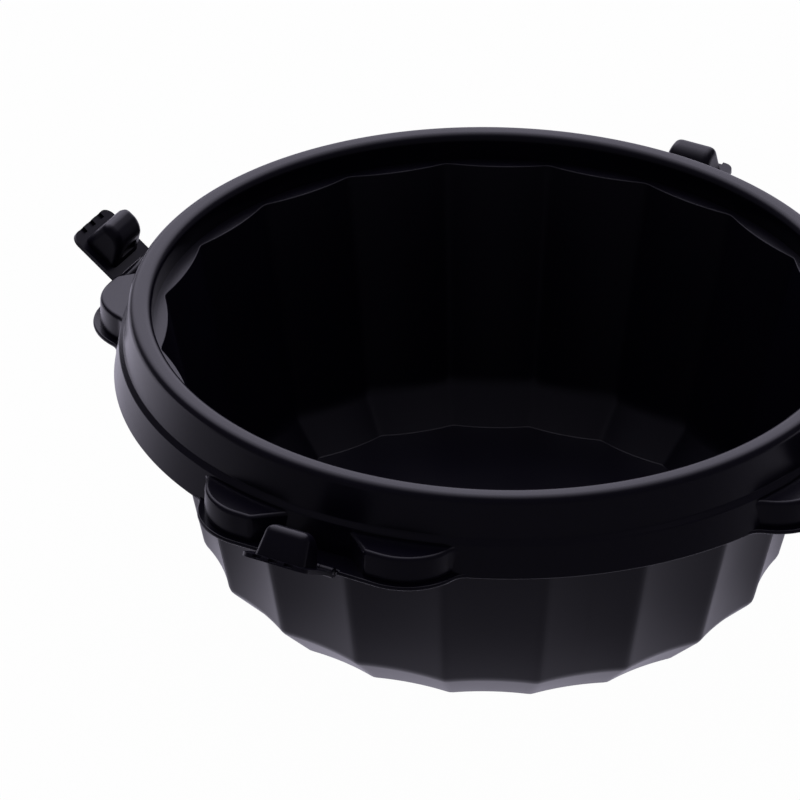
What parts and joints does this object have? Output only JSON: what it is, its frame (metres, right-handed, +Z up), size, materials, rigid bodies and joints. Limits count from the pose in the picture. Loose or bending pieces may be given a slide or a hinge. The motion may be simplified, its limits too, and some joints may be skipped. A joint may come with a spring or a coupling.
{
  "type": "slow cooker bowl",
  "caption": "Deep round fluted cooking bowl with a stepped rim collar, hollow ears and hinged clip latches that close over a lid.",
  "frame": {"origin": "centre of the flat base, on the surface that the bowl stands on", "axes": "+Z up along the axis of the bowl, -Y through the latch called front, +X through the latch called right"},
  "size_m": [0.33, 0.3349, 0.106],
  "materials": {
    "bowl_plastic": "satin black moulding",
    "collar_plastic": "satin black moulding",
    "latch_plastic": "fine satin black moulding",
    "pin_steel": "plain drawn wire"
  },
  "bodies": {
    "base": {"bowl": "bowl_plastic", "rim_collar": "collar_plastic", "hinge_pin_front": "pin_steel", "hinge_pin_right": "pin_steel", "hinge_pin_back": "pin_steel", "hinge_pin_left": "pin_steel"},
    "latch_front": {"latch_front": "latch_plastic"},
    "latch_right": {"latch_right": "latch_plastic"},
    "latch_back": {"latch_back": "latch_plastic"},
    "latch_left": {"latch_left": "latch_plastic"}
  },
  "joints": [
    {"name": "latch_front_hinge", "type": "hinge", "parent": "base", "child": "latch_front", "pos_m": [0, -0.145, 0.07815], "axis": [-1, 0, 0], "range_deg": [-23.5, 59]},
    {"name": "latch_right_hinge", "type": "hinge", "parent": "base", "child": "latch_right", "pos_m": [0.145, 0, 0.07815], "axis": [0, -1, 0], "range_deg": [-28.5, 54]},
    {"name": "latch_back_hinge", "type": "hinge", "parent": "base", "child": "latch_back", "pos_m": [0, 0.145, 0.07815], "axis": [1, 0, 0], "range_deg": [0, 82.5]},
    {"name": "latch_left_hinge", "type": "hinge", "parent": "base", "child": "latch_left", "pos_m": [-0.145, 0, 0.07815], "axis": [0, 1, 0], "range_deg": [-28.5, 54]}
  ]
}
